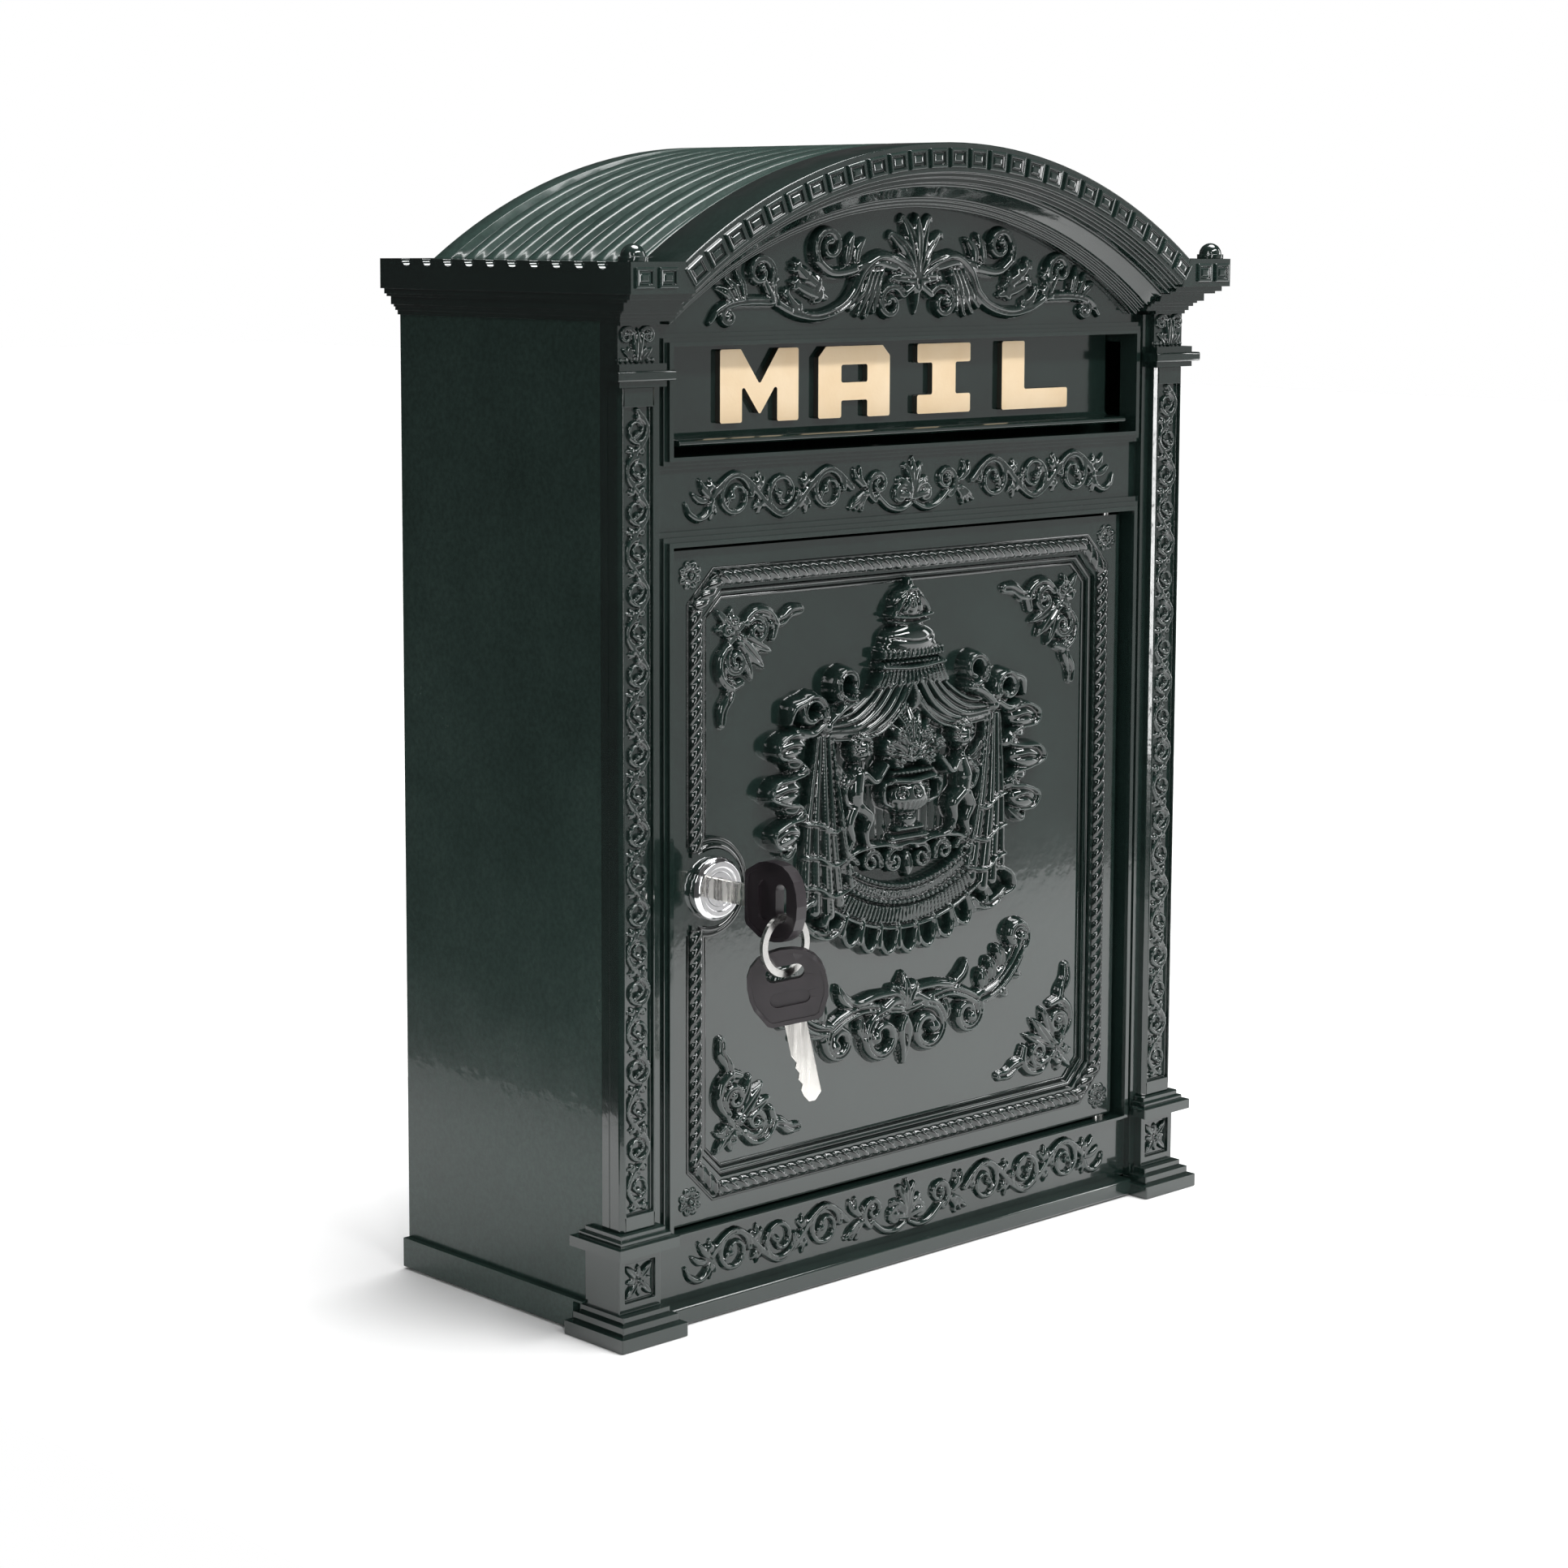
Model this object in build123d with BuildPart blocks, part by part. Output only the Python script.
from build123d import *
import os
from math import sin, cos, tan, asin, radians, sqrt

os.makedirs("parts", exist_ok=True)

# ---------------------------------------------------------------------------
# Wall mounted mailbox, cast panels, arched roof, hinged door, letter flap.
# Millimetres. X to the right seen from the front, front faces -Y,
# the wall is the plane Y = 0, Z up.  While drawing, Z = 0 is the underside of
# the feet; every finished piece is then moved down by ORIGIN_Z.
# ---------------------------------------------------------------------------

# body
BODY_X = 154.5          # half width over the side panels
WALL = 3.0              # cast wall thickness
BODY_Z0 = 4.0           # underside of the bottom plate
EAVES_Z = 383.7         # top of the side panels, underside of the cornice slab
CORNICE_TOP = 395.0     # top of the cornice slab
FRAME_Y0 = -121.5       # front face of the front frame field
FRAME_Y1 = -117.5       # back face of the front frame
MOULD_Y = -126.5        # front of the mouldings round the openings

# roof barrel, axis along Y
ROOF_CZ = 202.7
ROOF_R = 236.7          # rib crest and front arch
ROOF_GROOVE_R = 233.3
ROOF_IN_R = 229.5
RIB_COUNT = 10
RIB_PITCH = 12.6
CORNICE_X = 163.6       # half width over the cornice
CORNICE_Y = -145.1      # front of the cornice slab
ARCH_X = 138.0          # half span of the arch at the slab top

# openings in the front frame
OPEN_X = 127.25
DOOR_OPEN_Z0, DOOR_OPEN_Z1 = 34.65, 291.5
SLOT_Z0, SLOT_Z1 = 324.3, 364.4
MOULD_X = 132.7         # outer edge of the opening mouldings

# door
DOOR_X = 123.5
DOOR_Z0, DOOR_Z1 = 36.0, 289.8
DOOR_Y0 = -121.5        # border face
DOOR_FIELD_Y = -118.0   # recessed field face
DOOR_Y1 = -115.5        # back face
ROPE_X = 112.6          # half distance between the rope mouldings
ROPE_Z0, ROPE_Z1 = 47.0, 278.6
ROPE_CUT = 11.0          # diagonal cut at its corners
DOOR_STEP_Y = -119.4     # step between the moulding and the field
ROPE_Y = -124.0
HINGE_X, HINGE_Y = 118.5, -117.7
PIN_R = 2.0
PIN_CLEAR = 0.08

# letter flap
FLAP_X = 123.0
FLAP_Y0, FLAP_Y1 = -113.2, -111.2
FLAP_Z0 = 330.2
FLAP_AXIS_Y, FLAP_AXIS_Z = -114.2, 369.0
ROD_R = 1.45
FLAP_BARREL_R = 3.0
LETTER_H = 27.3
LETTER_Z0 = 335.0
LETTER_T = 2.6

# pillars
PIL_C = 145.75
PIL_HALF = 8.75
PIL_Y = -128.6
PIL_Z0, PIL_Z1 = 41.7, 350.5
PANEL_HALF = 6.75
PANEL_Z0, PANEL_Z1 = 47.6, 343.4
PANEL_DEPTH = 1.8

# lock and keys
LOCK_X, LOCK_Z = -103.5, 162.7
BEZEL_R = 12.0
BEZEL_Y = -126.0
BARREL_R = 9.2
PLUG_R = 6.42
PLUG_HOLE_R = 6.5
BARREL_Y1 = -100.6
CAM_Y0, CAM_Y1 = -100.4, -98.4
CAM_REACH = 35.0
BOW_T = 4.2
BOW_Y0 = -141.7
RING_IN, RING_OUT, RING_T = 9.2, 11.8, 1.6
RING_Y = -160.7
RING_Z = 147.2

# wall holes
HOLE_X, HOLE_Z0, HOLE_Z1, HOLE_R = 100.0, 60.0, 340.0, 3.5
# the part's origin is the middle of the wall hole pattern, on the wall plane
ORIGIN_Z = (HOLE_Z0 + HOLE_Z1) / 2


def block(x0, x1, y0, y1, z0, z1, mode=Mode.ADD):
    """Box between two corners in the active part."""
    with Locations(((x0 + x1) / 2, (y0 + y1) / 2, (z0 + z1) / 2)):
        return Box(abs(x1 - x0), abs(y1 - y0), abs(z1 - z0), mode=mode)


def hole_y(x, z, r, y0, y1, mode=Mode.SUBTRACT):
    """Cylinder along Y in the active part."""
    with Locations(Location((x, (y0 + y1) / 2, z), (90, 0, 0))):
        return Cylinder(r, abs(y1 - y0), mode=mode)


def rod_x(y, z, r, x0, x1, mode=Mode.ADD):
    """Cylinder along X in the active part."""
    with Locations(Location(((x0 + x1) / 2, y, z), (0, 90, 0))):
        return Cylinder(r, abs(x1 - x0), mode=mode)


def rod_z(x, y, r, z0, z1, mode=Mode.ADD):
    """Cylinder along Z in the active part."""
    with Locations((x, y, (z0 + z1) / 2)):
        return Cylinder(r, abs(z1 - z0), mode=mode)


def cut_frame(inset):
    """Corners of the moulding's rectangle, moved in by inset, each cut on the diagonal."""
    x, z0, z1 = ROPE_X - inset, ROPE_Z0 + inset, ROPE_Z1 - inset
    c = ROPE_CUT - 0.4 * inset
    return [(-x, z0 + c), (-x, z1 - c), (-x + c, z1), (x - c, z1), (x, z1 - c), (x, z0 + c), (x - c, z0), (-x + c, z0)]


def save(p, node):
    """Label a finished piece, move it to the part's origin and write it."""
    p.part = p.part.moved(Location((0, 0, -ORIGIN_Z)))
    p.part.label = node
    export_step(p.part, "parts/" + node + ".step")


# ---------------------------------------------------------------------------
# Cabinet
# ---------------------------------------------------------------------------

XZ_AT = lambda y: Plane(origin=(0, y, 0), x_dir=(1, 0, 0), z_dir=(0, -1, 0))

# back plate with the arched top, four wall holes and four countersunk screws
BACK_SCREWS = [(-146.0, 100.0), (-146.0, 300.0), (146.0, 100.0), (146.0, 300.0)]
with BuildPart() as back_plate:
    with BuildSketch(XZ_AT(0)):
        with BuildLine():
            crown_z = ROOF_CZ + sqrt((ROOF_IN_R - 0.2) ** 2 - 125.0 ** 2)
            Polyline((-125.0, crown_z), (-125.0, CORNICE_TOP - 4), (-(BODY_X - WALL), CORNICE_TOP - 4),
                     (-(BODY_X - WALL), BODY_Z0), (BODY_X - WALL, BODY_Z0), (BODY_X - WALL, CORNICE_TOP - 4),
                     (125.0, CORNICE_TOP - 4), (125.0, crown_z))
            ThreePointArc((125.0, crown_z), (0, ROOF_CZ + ROOF_IN_R - 0.2), (-125.0, crown_z))
        make_face()
    extrude(amount=WALL)
    for hx in (-HOLE_X, HOLE_X):
        for hz in (HOLE_Z0, HOLE_Z1):
            hole_y(hx, hz, HOLE_R, -WALL - 1, 1)
    for sx, sz in BACK_SCREWS:
        hole_y(sx, sz, 2.15, -WALL - 1, 1)
        with Locations(Location((sx, -1.1, sz), (90, 0, 0))):
            Cone(4.15, 2.15, 2.2, mode=Mode.SUBTRACT)

# side panels with inner lugs for the frame and back plate screws
LUG_Z = (70.0, 310.0)
side_panels = {}
for sgn, nm in ((-1, "left_side_panel"), (1, "right_side_panel")):
    with BuildPart() as sp:
        block(sgn * (BODY_X - WALL), sgn * BODY_X, FRAME_Y1, 0, BODY_Z0, EAVES_Z)
        for z in LUG_Z:
            block(sgn * (BODY_X - WALL - 10), sgn * (BODY_X - WALL), FRAME_Y1, FRAME_Y1 + 10, z - 7, z + 7)
            hole_y(sgn * 146.0, z, 2.15, FRAME_Y1 - 1, FRAME_Y1 + 11)
        for z in (100.0, 300.0):
            block(sgn * (BODY_X - WALL - 10), sgn * (BODY_X - WALL), -13, -WALL, z - 7, z + 7)
            hole_y(sgn * 146.0, z, 2.15, -14, -WALL + 0.5)
    side_panels[nm] = sp

with BuildPart() as bottom_plate:
    block(-(BODY_X - WALL), BODY_X - WALL, FRAME_Y1, -WALL, BODY_Z0, BODY_Z0 + WALL)
    for dx in (-80, 0, 80):
        with Locations((dx, -60, BODY_Z0 + WALL / 2)):
            Cylinder(3.0, WALL + 1, mode=Mode.SUBTRACT)   # drain holes

# ribbed barrel roof
with BuildPart() as roof_shell:
    with BuildSketch(Plane.YZ) as rib_profile:
        with BuildLine():
            pts = [(0.0, ROOF_IN_R), (0.0, ROOF_R)]
            y = -10.2
            pts.append((y, ROOF_R))
            for i in range(RIB_COUNT):
                c = -16.5 - RIB_PITCH * i
                pts += [(c + 4.6, ROOF_GROOVE_R + 0.6), (c + 3.4, ROOF_GROOVE_R), (c + 1.6, ROOF_GROOVE_R),
                        (c + 0.4, ROOF_GROOVE_R + 1.2), (c - 0.6, ROOF_R - 0.7), (c - 2.2, ROOF_R),
                        (c - 5.4, ROOF_R), (c - 6.8, ROOF_R - 0.7)]
            pts = [p for p in pts if p[0] > FRAME_Y0 + 0.3]
            pts += [(FRAME_Y0, ROOF_R - 0.7), (FRAME_Y0, ROOF_IN_R)]
            Polyline([(a, b + ROOF_CZ) for a, b in pts], close=True)
        make_face()
    revolve(axis=Axis((0, 0, ROOF_CZ), (0, 1, 0)), revolution_arc=40)
    revolve(rib_profile.sketch, axis=Axis((0, 0, ROOF_CZ), (0, 1, 0)), revolution_arc=-40)
    split(bisect_by=Plane.XY.offset(CORNICE_TOP), keep=Keep.TOP)

# front frame: one casting with the letter slot, the door opening and the
# tympanum, raised mouldings round both openings and strips beside the pillars
MITRE = Plane(origin=(ARCH_X, 0, CORNICE_TOP), x_dir=(0, 1, 0),
              z_dir=(23.0 / 25.04, 0, -9.9 / 25.04))
with BuildPart() as front_frame:
    with BuildSketch(XZ_AT(FRAME_Y0)):
        with BuildLine():
            tymp_x = sqrt((ROOF_IN_R - 0.3) ** 2 - (CORNICE_TOP - ROOF_CZ) ** 2)
            Polyline((-tymp_x, CORNICE_TOP), (-138.9, CORNICE_TOP), (-138.9, EAVES_Z), (-BODY_X, EAVES_Z),
                     (-BODY_X, 7.2), (BODY_X, 7.2), (BODY_X, EAVES_Z), (138.9, EAVES_Z), (138.9, CORNICE_TOP),
                     (tymp_x, CORNICE_TOP))
            ThreePointArc((tymp_x, CORNICE_TOP), (0, ROOF_CZ + ROOF_IN_R - 0.3), (-tymp_x, CORNICE_TOP))
        make_face()
    extrude(amount=-(FRAME_Y1 - FRAME_Y0))
    for z0, z1, m0, m1 in ((SLOT_Z0, SLOT_Z1, 4.5, 4.6), (DOOR_OPEN_Z0, DOOR_OPEN_Z1, 2.4, 5.5)):
        block(-MOULD_X, MOULD_X, MOULD_Y + 3.0, FRAME_Y0, z0 - m0, z1 + m1)
        block(-(MOULD_X - 1.8), MOULD_X - 1.8, MOULD_Y + 1.5, FRAME_Y0, z0 - m0 * 0.65, z1 + m1 * 0.65)
        block(-(MOULD_X - 3.5), MOULD_X - 3.5, MOULD_Y, FRAME_Y0, z0 - m0 * 0.32, z1 + m1 * 0.32)
    for s in (-1, 1):
        block(s * MOULD_X, s * (PIL_C - PIL_HALF), -124.8, FRAME_Y0, 7.2, 372.0)
    block(-OPEN_X, OPEN_X, MOULD_Y - 1, FRAME_Y1 + 1, SLOT_Z0, SLOT_Z1, Mode.SUBTRACT)
    block(-OPEN_X, OPEN_X, MOULD_Y - 1, FRAME_Y1 + 1, DOOR_OPEN_Z0, DOOR_OPEN_Z1, Mode.SUBTRACT)
    # pocket behind the top moulding for the letters when the flap is lifted
    block(-OPEN_X, OPEN_X, FRAME_Y0, FRAME_Y1 + 1, SLOT_Z1 - 1, 368.6, Mode.SUBTRACT)
    # hinge bosses above and below the door
    block(HINGE_X - 7, HINGE_X + 7, FRAME_Y1 - 0.5, FRAME_Y1 + 6, DOOR_OPEN_Z1, DOOR_OPEN_Z1 + 12)
    block(HINGE_X - 7, HINGE_X + 7, FRAME_Y1 - 0.5, FRAME_Y1 + 6, DOOR_OPEN_Z0 - 12, DOOR_OPEN_Z0)
    rod_z(HINGE_X, HINGE_Y, PIN_R, DOOR_OPEN_Z1 - 1, DOOR_OPEN_Z1 + 10, Mode.SUBTRACT)
    rod_z(HINGE_X, HINGE_Y, PIN_R, DOOR_OPEN_Z0 - 10, DOOR_OPEN_Z0 + 1, Mode.SUBTRACT)
    for s in (-1, 1):
        for z in LUG_Z:
            hole_y(s * 146.0, z, 2.15, FRAME_Y1 - 3.0, FRAME_Y1 + 1)

# arched pediment: slab course, steps and inner fillets, mitred at both ends
with BuildPart() as pediment_arch:
    with BuildSketch(Plane.YZ) as arch_profile:
        with BuildLine():
            ap = [(FRAME_Y0, 212.3), (-125.2, 212.3), (-125.2, 213.6), (-126.6, 213.6), (-126.6, 215.0),
                  (-128.2, 215.0), (-128.2, 216.2), (-129.8, 216.2), (-132.6, 219.2), (-135.6, 220.4),
                  (-135.6, 221.6), (-139.6, 221.6), (-139.6, 223.6), (-142.4, 223.6), (-142.4, 225.4),
                  (CORNICE_Y, 225.4), (CORNICE_Y, ROOF_R), (FRAME_Y0, ROOF_R)]
            Polyline([(a, b + ROOF_CZ) for a, b in ap], close=True)
        make_face()
    revolve(axis=Axis((0, 0, ROOF_CZ), (0, 1, 0)), revolution_arc=45)
    revolve(arch_profile.sketch, axis=Axis((0, 0, ROOF_CZ), (0, 1, 0)), revolution_arc=-45)
    split(bisect_by=MITRE, keep=Keep.BOTTOM)
    split(bisect_by=Plane(origin=(-ARCH_X, 0, CORNICE_TOP), x_dir=(0, 1, 0),
                          z_dir=(-23.0 / 25.04, 0, -9.9 / 25.04)), keep=Keep.BOTTOM)

# cornice returns: flat ends at the front, stepped mouldings, run back to the wall
LAYERS = [  # z0, z1, offset in x beyond the side panel, offset in y beyond the frame field
    (383.7, 395.0, 9.1, 23.6), (381.7, 383.7, 7.3, 20.8), (380.7, 381.7, 6.2, 18.2),
    (377.6, 380.7, 4.2, 14.0), (376.7, 377.6, 2.9, 11.4), (375.4, 376.7, 2.2, 9.9),
    (373.7, 375.4, 1.1, 8.4)]
cornices = {}
for sgn, nm in ((-1, "left_cornice"), (1, "right_cornice")):
    with BuildPart() as co:
        for z0, z1, ox, oy in LAYERS:
            block(sgn * BODY_X, sgn * (BODY_X + ox), FRAME_Y0 - oy, 0, z0, z1)
            block(sgn * 122.0, sgn * (BODY_X + ox), FRAME_Y0 - oy, FRAME_Y0, z0, z1)
        if sgn > 0:
            split(bisect_by=MITRE, keep=Keep.TOP)
        else:
            split(bisect_by=Plane(origin=(-ARCH_X, 0, CORNICE_TOP), x_dir=(0, 1, 0),
                                  z_dir=(-23.0 / 25.04, 0, -9.9 / 25.04)), keep=Keep.TOP)
        # ledge that carries the roof
        block(sgn * (BODY_X - WALL), sgn * BODY_X, FRAME_Y1, 0, EAVES_Z, CORNICE_TOP)
        block(sgn * 125.0, sgn * (BODY_X - WALL), FRAME_Y1, 0, CORNICE_TOP - 4, CORNICE_TOP)
        block(sgn * 139.0, sgn * BODY_X, FRAME_Y0, FRAME_Y1, EAVES_Z, CORNICE_TOP)
        # scallops under the rib ends along the top edge of the side
        for i in range(RIB_COUNT):
            c = -16.5 - RIB_PITCH * i
            if c > -134:
                with Locations((sgn * CORNICE_X, c, CORNICE_TOP + 0.2)):
                    Cylinder(2.9, 7.6, rotation=(0, 90, 0), mode=Mode.SUBTRACT)
    cornices[nm] = co

with BuildPart() as corner_finials:
    for s in (-1, 1):
        with Locations((s * 157.6, -139.2, CORNICE_TOP + 0.9)):
            Cylinder(5.4, 1.8)
        with Locations((s * 157.6, -139.2, CORNICE_TOP + 1.8)):
            Sphere(4.6, arc_size1=0, align=(Align.CENTER, Align.CENTER, Align.MIN))

# ---------------------------------------------------------------------------
# Pillars, capitals, plinths and skirts
# ---------------------------------------------------------------------------
pillars = {}
capitals = {}
plinths = {}
for sgn, side in ((-1, "left"), (1, "right")):
    with BuildPart() as pil:
        block(sgn * (PIL_C - PIL_HALF), sgn * (PIL_C + PIL_HALF), PIL_Y, FRAME_Y0, PIL_Z0, PIL_Z1)
        chamfer(pil.edges().filter_by(Axis.Z).group_by(Axis.Y)[0], 1.6)
        block(sgn * (PIL_C - PANEL_HALF), sgn * (PIL_C + PANEL_HALF), PIL_Y - 1, PIL_Y + PANEL_DEPTH,
              PANEL_Z0, PANEL_Z1, Mode.SUBTRACT)
    pillars[side + "_pillar"] = pil

    with BuildPart() as cap:
        block(sgn * (PIL_C - PIL_HALF), sgn * (PIL_C + PIL_HALF), PIL_Y + 1.4, FRAME_Y0, 358.8, 373.7)
        block(sgn * (PIL_C - PIL_HALF - 1.0), sgn * (PIL_C + PIL_HALF), PIL_Y - 0.2, FRAME_Y0, 372.3, 373.7)
        for z0, z1, o in ((356.4, 358.8, 2.4), (352.7, 356.4, 4.8), (350.5, 352.7, 2.4)):
            block(sgn * (PIL_C - PIL_HALF - o), sgn * (PIL_C + PIL_HALF), PIL_Y - o, -124.8, z0, z1)
            block(sgn * (PIL_C + PIL_HALF), sgn * (PIL_C + PIL_HALF + o), PIL_Y - o, -125.6, z0, z1)
            block(sgn * (PIL_C - PIL_HALF), sgn * (PIL_C + PIL_HALF), -124.8, FRAME_Y0, z0, z1)
        fillet([e for e in cap.edges().filter_by(Axis.X).group_by(Axis.Y)[0]], 0.8)
    capitals[side + "_capital"] = cap

    with BuildPart() as pl:
        for z0, z1, half, y0, y1 in (
                (0.0, 5.2, 16.0, -137.3, -104.0), (5.2, 8.6, 13.5, -134.8, -106.0), (8.6, 11.3, 11.4, -132.4, -107.6),
                (11.3, 33.7, 10.0, PIL_Y, -109.0), (33.7, 37.7, 14.7, -134.5, -105.5),
                (37.7, 39.7, 12.2, -132.2, -108.0), (39.7, 41.7, 10.8, -130.6, -110.0)):
            block(sgn * (PIL_C - half), sgn * (PIL_C + half), y0, y1, z0, z1)
        block(-BODY_X, BODY_X, FRAME_Y0, -50, BODY_Z0 - 5, 60, Mode.SUBTRACT)
        block(sgn * 120, sgn * MOULD_X, -124.8, FRAME_Y0, 7.2, 60, Mode.SUBTRACT)
        block(sgn * MOULD_X, sgn * (PIL_C - PIL_HALF), -124.8, FRAME_Y0, 7.2, 60, Mode.SUBTRACT)
        block(sgn * 100, sgn * MOULD_X, MOULD_Y, FRAME_Y0, 32.25, 60, Mode.SUBTRACT)
        # recessed square with the flower
        block(sgn * (PIL_C - 7.4), sgn * (PIL_C + 7.4), PIL_Y - 1, PIL_Y + 1.6, 15.0, 29.8, Mode.SUBTRACT)
    plinths[side + "_plinth"] = pl

with BuildPart() as front_skirt:
    block(-(PIL_C - 16.0), PIL_C - 16.0, -128.5, FRAME_Y0, 0.4, 7.2)
    block(-(PIL_C - 16.0), PIL_C - 16.0, FRAME_Y0, FRAME_Y1, 0.4, 7.2)
    fillet(front_skirt.edges().filter_by(Axis.X).group_by(Axis.Y)[0], 0.9)
skirts = {}
for sgn, nm in ((-1, "left_skirt"), (1, "right_skirt")):
    with BuildPart() as sk:
        block(sgn * BODY_X, sgn * (BODY_X + 3.0), -109.0, 0, 11.3, 12.4)
        block(sgn * BODY_X, sgn * (BODY_X + 3.0), -104.0, 0, 0.8, 11.3)
        block(sgn * (BODY_X - WALL), sgn * BODY_X, -104.0, 0, 0.8, BODY_Z0)
    skirts[nm] = sk

# ---------------------------------------------------------------------------
# Door
# ---------------------------------------------------------------------------
with BuildPart() as door_panel:
    block(-DOOR_X, DOOR_X, DOOR_Y0, DOOR_Y1, DOOR_Z0, DOOR_Z1)
    fillet(door_panel.edges().filter_by(Axis.Y), 1.2)
    # stepped field with corners cut on the diagonal
    for inset, y in ((4.0, DOOR_STEP_Y), (6.6, DOOR_FIELD_Y)):
        with BuildSketch(XZ_AT(DOOR_Y0)):
            with BuildLine():
                Polyline(cut_frame(inset), close=True)
            make_face()
        extrude(amount=-(y - DOOR_Y0), mode=Mode.SUBTRACT)
    # flat band under the rope moulding
    with BuildSketch(XZ_AT(DOOR_Y0)):
        with BuildLine():
            Polyline(cut_frame(-2.2), close=True)
        make_face()
        with BuildLine():
            Polyline(cut_frame(2.2), close=True)
        make_face(mode=Mode.SUBTRACT)
    extrude(amount=1.0)
    # round boss for the lock
    hole_y(LOCK_X, LOCK_Z, 17.4, DOOR_Y0 + 1.6, DOOR_FIELD_Y + 0.5, Mode.ADD)
    hole_y(LOCK_X, LOCK_Z, 17.0, DOOR_Y0 - 2, DOOR_Y0, Mode.SUBTRACT)
    hole_y(LOCK_X, LOCK_Z, 14.6, DOOR_Y0, DOOR_FIELD_Y + 0.5, Mode.ADD)
    # stiffening ribs on the back: hinge side and lock side
    block(113.5, DOOR_X, DOOR_Y1, -113.0, DOOR_Z0 + 0.01, DOOR_Z1 - 0.01)
    block(-DOOR_X + 1.5, -DOOR_X + 5.0, DOOR_Y1, -113.5, DOOR_Z0 + 3, DOOR_Z1 - 3)
    hole_y(LOCK_X, LOCK_Z, BARREL_R + 0.2, -130, -110)
    rod_z(HINGE_X, HINGE_Y, PIN_R + PIN_CLEAR, DOOR_Z0 - 1, DOOR_Z0 + 9, Mode.SUBTRACT)
    rod_z(HINGE_X, HINGE_Y, PIN_R + PIN_CLEAR, DOOR_Z1 - 9, DOOR_Z1 + 1, Mode.SUBTRACT)

with BuildPart() as hinge_pins:
    rod_z(HINGE_X, HINGE_Y, PIN_R, DOOR_OPEN_Z0 - 10, DOOR_Z0 + 8)
    rod_z(HINGE_X, HINGE_Y, PIN_R, DOOR_Z1 - 8, DOOR_OPEN_Z1 + 10)

with BuildPart() as hinge_washer:
    rod_z(HINGE_X, HINGE_Y, 3.7, DOOR_OPEN_Z0, DOOR_Z0 - 0.05)
    rod_z(HINGE_X, HINGE_Y, PIN_R + 0.05, DOOR_OPEN_Z0 - 1, DOOR_Z0 + 1, Mode.SUBTRACT)

# ---------------------------------------------------------------------------
# Cam lock
# ---------------------------------------------------------------------------
with BuildPart() as lock_body:
    hole_y(LOCK_X, LOCK_Z, BEZEL_R, BEZEL_Y, DOOR_Y0, Mode.ADD)
    chamfer(lock_body.edges().filter_by(GeomType.CIRCLE).group_by(Axis.Y)[0], 1.7)
    hole_y(LOCK_X, LOCK_Z, BARREL_R, DOOR_Y0, BARREL_Y1, Mode.ADD)
    hole_y(LOCK_X, LOCK_Z, PLUG_HOLE_R, BEZEL_Y - 1, BARREL_Y1 + 1)
    hole_y(LOCK_X, LOCK_Z, 8.3, BEZEL_Y - 1, BEZEL_Y + 0.6)
with BuildPart() as lock_nut:
    with BuildSketch(XZ_AT(DOOR_Y1)):
        with Locations((LOCK_X, LOCK_Z)):
            RegularPolygon(14.0, 6)
            Circle(BARREL_R + 0.05, mode=Mode.SUBTRACT)
    extrude(amount=-4.0)
with BuildPart() as lock_plug:
    hole_y(LOCK_X, LOCK_Z, PLUG_R, BEZEL_Y + 0.5, BARREL_Y1, Mode.ADD)
    block(LOCK_X - 3, LOCK_X + 3, BARREL_Y1, CAM_Y1 - 0.1, LOCK_Z - 3, LOCK_Z + 3)
    block(LOCK_X - 1.1, LOCK_X + 1.1, BEZEL_Y, -105.0, LOCK_Z - 4.3, LOCK_Z + 4.3, Mode.SUBTRACT)
    hole_y(LOCK_X, LOCK_Z, 1.75, -104.0, CAM_Y1 + 1)
with BuildPart() as lock_cam:
    with BuildSketch(XZ_AT(CAM_Y0)):
        with Locations((LOCK_X, LOCK_Z)):
            Circle(7.5)
        with Locations((LOCK_X, LOCK_Z - CAM_REACH / 2)):
            Rectangle(11.0, CAM_REACH)
        with Locations((LOCK_X, LOCK_Z)):
            Rectangle(6.2, 6.2, mode=Mode.SUBTRACT)
    extrude(amount=-(CAM_Y1 - CAM_Y0))
    fillet(lock_cam.edges().filter_by(Axis.Y).group_by(Axis.Z)[0], 2.5)
with BuildPart() as cam_screw:
    hole_y(LOCK_X, LOCK_Z, 4.6, CAM_Y1, CAM_Y1 + 2.2, Mode.ADD)
    fillet(cam_screw.edges().filter_by(GeomType.CIRCLE).group_by(Axis.Y)[-1], 0.8)
    hole_y(LOCK_X, LOCK_Z, 1.6, -103.6, CAM_Y1, Mode.ADD)
    block(LOCK_X - 3.2, LOCK_X + 3.2, CAM_Y1 + 1.4, CAM_Y1 + 3, LOCK_Z - 0.5, LOCK_Z + 0.5, Mode.SUBTRACT)
with BuildPart() as lock_keeper:
    block(-150.0, -133.0, FRAME_Y1, FRAME_Y1 + 1.5, LOCK_Z - 22, LOCK_Z + 22)
    block(-134.5, -133.0, FRAME_Y1, CAM_Y0 - 0.5, LOCK_Z - 22, LOCK_Z + 22)

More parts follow.
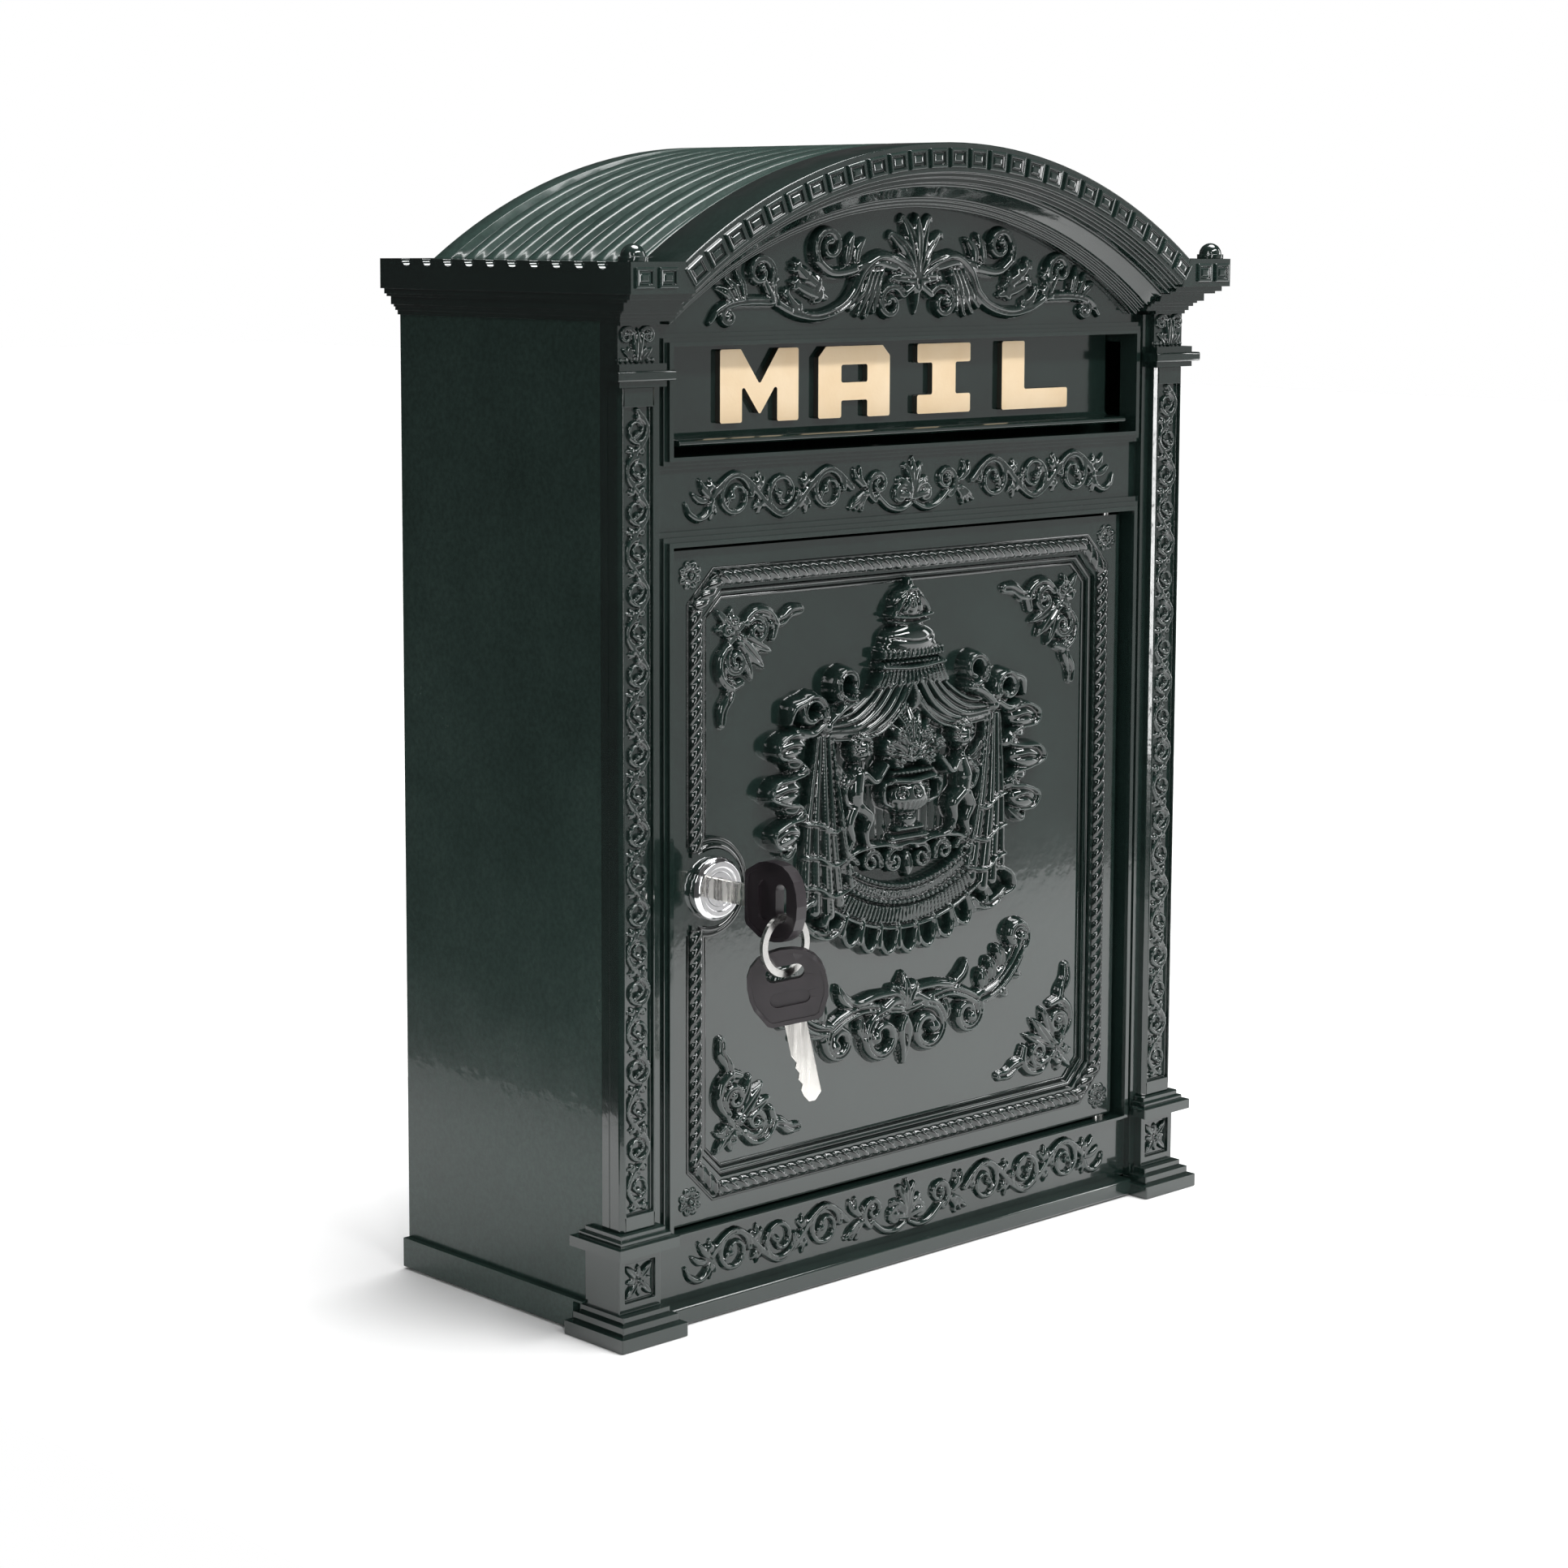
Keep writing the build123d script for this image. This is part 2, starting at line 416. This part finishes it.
# ---------------------------------------------------------------------------
# Keys: the bow outline is drawn once, in a plane whose x is across the blade
# and whose y runs from the shoulder to the far end of the bow.
# ---------------------------------------------------------------------------
BOW_HALF = [(8.6, 0.0), (10.2, 0.8), (13.9, 7.6), (14.7, 11.5), (14.7, 16.0), (14.0, 20.0), (12.1, 23.3), (9.0, 25.9), (4.8, 27.4)]
BOW_PTS = [(-x, v) for x, v in BOW_HALF] + [(0.0, 27.9)] + BOW_HALF[::-1]
SLOT_V = (9.6, 19.0)     # centres of the recess and of the slot along the bow
RIM = 1.6                # width of the raised edge of the bow


def key_plane(origin, x_dir, z_dir):
    return Plane(origin=origin, x_dir=x_dir, z_dir=z_dir)


# key in the lock: across = +Z, along = -Y, so the bow's normal is X
KEY_PLANE = key_plane((LOCK_X, BOW_Y0, LOCK_Z), (0, 0, 1), (1, 0, 0))
# spare key hanging from the ring, turned 47 degrees and leaning 12 degrees
TILT = radians(12.0)
H_DIR = Vector(cos(radians(43)), -sin(radians(43)), 0)
UP = Vector(0, 0, 1)
ACROSS = H_DIR * cos(TILT) + UP * sin(TILT)
ALONG = UP * cos(TILT) - H_DIR * sin(TILT)
SPARE_SLOT = Vector(LOCK_X, RING_Y, RING_Z - (RING_IN + RING_OUT) / 2 + 0.35)
SPARE_O = SPARE_SLOT - ALONG * SLOT_V[1]
SPARE_PLANE = Plane(origin=SPARE_O, x_dir=ACROSS, z_dir=ACROSS.cross(ALONG))

keys = {}
for nm_b, nm_h, pln in (("key_blade", "key_bow", KEY_PLANE), ("spare_key_blade", "spare_key_bow", SPARE_PLANE)):
    with BuildPart() as bow:
        with BuildSketch(pln):
            with BuildLine():
                Polyline(BOW_PTS, close=True)
            make_face()
            with Locations((0, SLOT_V[1])):
                SlotOverall(14.4, 5.6, mode=Mode.SUBTRACT)
        extrude(amount=BOW_T / 2, both=True)
        with BuildSketch(pln):
            with BuildLine():
                Polyline(BOW_PTS, close=True)
            make_face()
            with BuildLine():
                Polyline([(x * (1 - RIM / 14.7), 13.9 + (v - 13.9) * (1 - RIM / 13.9)) for x, v in BOW_PTS], close=True)
            make_face(mode=Mode.SUBTRACT)
        extrude(amount=BOW_T / 2 + 0.4, both=True)
        for side in (1, -1):
            face = Plane(origin=pln.origin + pln.z_dir * (side * (BOW_T / 2 + 0.01)), x_dir=pln.x_dir, z_dir=pln.z_dir * side)
            with BuildSketch(face):
                with Locations((0, SLOT_V[0] * side)):
                    SlotOverall(15.0, 5.4)
            extrude(amount=-1.11, mode=Mode.SUBTRACT)
        with BuildSketch(pln):
            with Locations((0, 2.5)):
                Rectangle(8.4, 5.02)
        extrude(amount=0.95, both=True, mode=Mode.SUBTRACT)
    with BuildPart() as blade:
        with BuildSketch(pln):
            with BuildLine():
                if nm_b == "key_blade":
                    L = -(BEZEL_Y + 0.5 - BOW_Y0) - 19.6
                else:
                    L = -30.0
                Polyline([(-4.1, 5.0), (4.1, 5.0), (4.1, L + 3.0), (1.2, L), (-1.2, L), (-2.6, L + 2.4), (-3.2, L + 5.0),
                          (-2.2, L + 7.0), (-3.4, L + 9.0), (-2.6, L + 11.5), (-3.6, L + 13.5), (-2.8, L + 15.5),
                          (-4.1, L + 18.0)], close=True)
            make_face()
        extrude(amount=0.95, both=True)
    keys[nm_h] = bow
    keys[nm_b] = blade

with BuildPart() as key_ring:
    with BuildSketch(XZ_AT(RING_Y)):
        with Locations((LOCK_X, RING_Z)):
            Circle(RING_OUT)
            Circle(RING_IN, mode=Mode.SUBTRACT)
    extrude(amount=RING_T / 2, both=True)

# ---------------------------------------------------------------------------
# Letter flap
# ---------------------------------------------------------------------------
with BuildPart() as letter_flap:
    with BuildSketch(Plane.YZ):
        with BuildLine():
            Polyline([(FLAP_Y1, FLAP_AXIS_Z), (FLAP_Y1, 328.0), (-123.6, 328.0), (-124.7, 328.6), (-124.7, 329.8),
                      (-123.6, 330.4), (-114.6, 330.9), (FLAP_Y0, 332.2), (FLAP_Y0, FLAP_AXIS_Z)], close=True)
        make_face()
    extrude(amount=FLAP_X, both=True)
    rod_x(FLAP_AXIS_Y, FLAP_AXIS_Z, FLAP_BARREL_R, -FLAP_X, FLAP_X)
    rod_x(FLAP_AXIS_Y, FLAP_AXIS_Z, ROD_R + 0.05, -FLAP_X - 1, FLAP_X + 1, Mode.SUBTRACT)

# gold block letters, each one its own casting
LH = LETTER_H
LETTERS = [
    (-95.0, [(0, 0), (11, 0), (11, 14.6), (20, 2.6), (29, 14.6), (29, 0), (40, 0), (40, LH), (29.6, LH),
             (20, 14.0), (10.4, LH), (0, LH)], []),
    (-44.6, [(0, 0), (12.2, 0), (12.2, 6.6), (26.2, 6.6), (26.2, 0), (38.4, 0), (38.4, LH - 4), (34.4, LH), (4, LH),
             (0, LH - 4)], [(12.2, 13.4, 26.2, 20.2)]),
    (9.0, [(0, 0), (30, 0), (30, 7.4), (21.6, 7.4), (21.6, LH - 7.4), (30, LH - 7.4), (30, LH), (0, LH), (0, LH - 7.4),
           (8.4, LH - 7.4), (8.4, 7.4), (0, 7.4)], []),
    (57.4, [(0, 0), (39, 0), (39, 8.0), (13.2, 8.0), (13.2, LH), (0, LH)], [])]
with BuildPart() as flap_letters:
    for x0, outline, holes in LETTERS:
        with BuildSketch(XZ_AT(FLAP_Y0)) as ls:
            with BuildLine():
                Polyline([(x0 + a, LETTER_Z0 + b) for a, b in outline], close=True)
            make_face()
            for a0, b0, a1, b1 in holes:
                with Locations((x0 + (a0 + a1) / 2, LETTER_Z0 + (b0 + b1) / 2)):
                    Rectangle(a1 - a0, b1 - b0, mode=Mode.SUBTRACT)
            fillet(ls.vertices(), 0.9)
        extrude(amount=LETTER_T)

with BuildPart() as flap_rod:
    rod_x(FLAP_AXIS_Y, FLAP_AXIS_Z, ROD_R, -130.2, 130.2)
with BuildPart() as flap_brackets:
    for s in (-1, 1):
        block(s * 124.2, s * 130.2, FRAME_Y1, -109.6, 361.0, 376.5)
        rod_x(FLAP_AXIS_Y, FLAP_AXIS_Z, ROD_R, s * 123.0, s * 131.4, Mode.SUBTRACT)

# sheet that leads the letters in and keeps fingers out
with BuildPart() as letter_baffle:
    with BuildSketch(Plane.YZ):
        with BuildLine():
            Polyline([(FRAME_Y1, 303.5), (FRAME_Y1, 322.0), (FRAME_Y1 + 2.2, 322.0), (-72.0, 299.6), (-72.6, 298.2),
                      (FRAME_Y1 + 1.5, 320.2), (FRAME_Y1 + 1.5, 303.5)], close=True)
        make_face()
    extrude(amount=110.0, both=True)

# ---------------------------------------------------------------------------
# Fasteners
# ---------------------------------------------------------------------------
with BuildPart() as frame_screws:
    for s in (-1, 1):
        for z in LUG_Z:
            hole_y(s * 146.0, z, 2.0, FRAME_Y1 - 2.8, FRAME_Y1 + 10, Mode.ADD)
            hole_y(s * 146.0, z, 3.9, FRAME_Y1 + 10, FRAME_Y1 + 12.6, Mode.ADD)
            block(s * 146.0 - 3.0, s * 146.0 + 3.0, FRAME_Y1 + 11.6, FRAME_Y1 + 13, z - 0.5, z + 0.5, Mode.SUBTRACT)
with BuildPart() as back_screws:
    for sx, sz in BACK_SCREWS:
        hole_y(sx, sz, 2.0, -11.0, -2.2, Mode.ADD)
        with Locations(Location((sx, -1.1, sz), (90, 0, 0))):
            Cone(4.0, 2.0, 2.2)
        block(sx - 3.0, sx + 3.0, -0.8, 0.5, sz - 0.5, sz + 0.5, Mode.SUBTRACT)

# ---------------------------------------------------------------------------
save(back_plate, "back_plate")
for nm, sp in side_panels.items():
    save(sp, nm)
save(bottom_plate, "bottom_plate")
save(roof_shell, "roof_shell")
save(front_frame, "front_frame")
save(pediment_arch, "pediment_arch")
for group in (cornices, pillars, capitals, plinths, skirts, keys):
    for nm, p in group.items():
        save(p, nm)
for nm, p in (("corner_finials", corner_finials), ("front_skirt", front_skirt), ("door_panel", door_panel),
              ("hinge_pins", hinge_pins), ("hinge_washer", hinge_washer), ("lock_body", lock_body),
              ("lock_nut", lock_nut), ("lock_plug", lock_plug), ("lock_cam", lock_cam), ("cam_screw", cam_screw),
              ("lock_keeper", lock_keeper), ("key_ring", key_ring), ("letter_flap", letter_flap),
              ("flap_letters", flap_letters), ("flap_rod", flap_rod), ("flap_brackets", flap_brackets),
              ("letter_baffle", letter_baffle), ("frame_screws", frame_screws), ("back_screws", back_screws)):
    save(p, nm)
